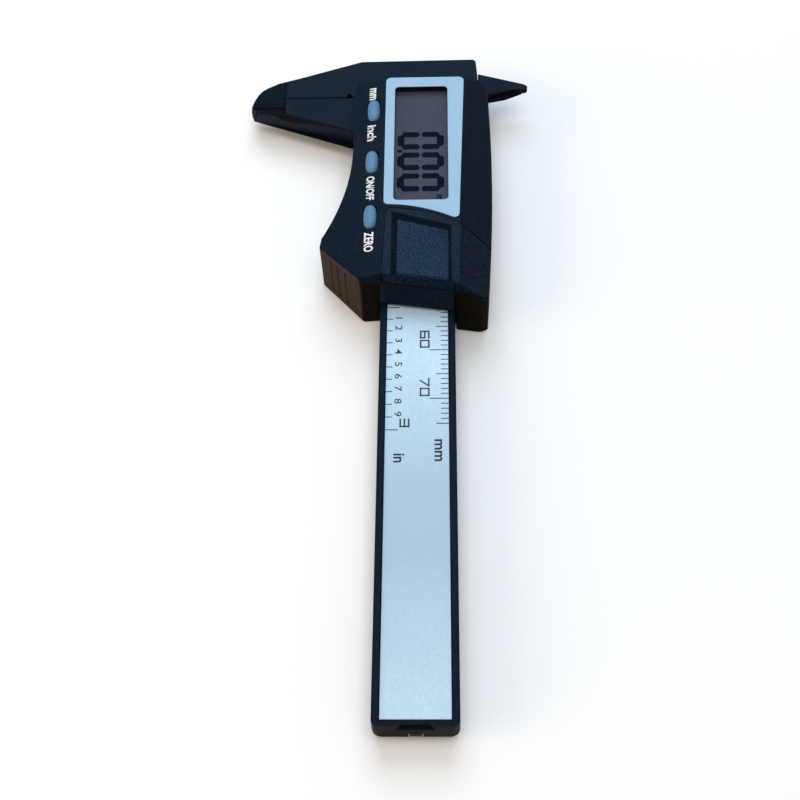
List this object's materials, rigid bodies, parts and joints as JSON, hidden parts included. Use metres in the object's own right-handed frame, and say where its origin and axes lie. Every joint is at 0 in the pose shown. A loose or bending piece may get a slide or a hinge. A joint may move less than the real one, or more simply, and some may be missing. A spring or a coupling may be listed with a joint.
{
  "type": "digital caliper",
  "caption": "Plastic digital caliper with outside and inside jaws, sliding display head, depth rod, sprung buttons and a slide-off cell cover.",
  "frame": {"origin": "bottom centre of the whole caliper's box with the jaws closed, on the plane that it rests on; the jaw plane is 58.5 mm towards -X and the beam's middle 5.95 mm towards +Y", "axes": "+X along the beam in the opening direction, +Y towards the inside jaws, +Z out of the display"},
  "size_m": [0.1374, 0.0546, 0.0132],
  "materials": {
    "beam_plastic": "fine-grained black fibre-filled plastic, satin",
    "scale_circuit": "etched circuit laminate",
    "scale_print": "printed silver film, fine sparkle",
    "case_plastic": "fine spark-eroded black plastic",
    "frame_plastic": "fine-grained black fibre-filled plastic, satin",
    "cover_plastic": "textured black plastic",
    "bezel_film": "pale steel-blue satin film",
    "clear_window": "clear acrylic",
    "lcd_cell": "liquid crystal cell, purplish grey",
    "lcd_backing": "reflective film",
    "button_plastic": "grey-blue satin plastic",
    "white_plastic": "moulded white plastic",
    "circuit_board": "green solder mask",
    "steel": "bright steel",
    "contact_brass": "gold-plated spring brass",
    "conductive_rubber": "layered conductive rubber",
    "film": "amber insulating film",
    "resin": "black epoxy drop",
    "ceramic": "chip ceramic",
    "back_film": "plain silver film"
  },
  "bodies": {
    "beam_body": {"beam": "beam_plastic", "scale_strip": "scale_circuit", "scale_label": "scale_print"},
    "slider": {"slider_frame": "frame_plastic", "gib_spring": "steel", "depth_rod": "frame_plastic", "back_plate": "case_plastic", "back_label": "back_film", "case_screws": "steel", "upper_case": "case_plastic", "display_bezel": "bezel_film", "display_window": "clear_window", "lcd_glass": "lcd_cell", "lcd_reflector": "lcd_backing", "lcd_holder": "white_plastic", "zebra_strips": "conductive_rubber", "main_board": "circuit_board", "board_screws": "steel", "insulating_film": "film", "chip_blob": "resin", "crystal": "steel", "capacitors": "ceramic", "switch_domes": "steel", "button_cell": "steel", "contact_positive": "contact_brass", "contact_negative": "contact_brass"},
    "unit_key": {"button_unit": "button_plastic"},
    "power_key": {"button_power": "button_plastic"},
    "zero_key": {"button_zero": "button_plastic"},
    "cell_door": {"battery_cover": "cover_plastic"}
  },
  "joints": [
    {"name": "slider_travel", "type": "slide", "parent": "beam_body", "child": "slider", "axis": [1, 0, 0], "range_m": [0, 0.075]},
    {"name": "unit_press", "type": "slide", "parent": "slider", "child": "unit_key", "axis": [0, 0, -1], "range_m": [0, 0.0004], "stiffness_N_per_m": 1500, "springref_m": -0.0002},
    {"name": "power_press", "type": "slide", "parent": "slider", "child": "power_key", "axis": [0, 0, -1], "range_m": [0, 0.0004], "stiffness_N_per_m": 1500, "springref_m": -0.0002},
    {"name": "zero_press", "type": "slide", "parent": "slider", "child": "zero_key", "axis": [0, 0, -1], "range_m": [0, 0.0004], "stiffness_N_per_m": 1500, "springref_m": -0.0002},
    {"name": "cover_slide", "type": "slide", "parent": "slider", "child": "cell_door", "axis": [1, 0, 0], "range_m": [0, 0.016]}
  ]
}
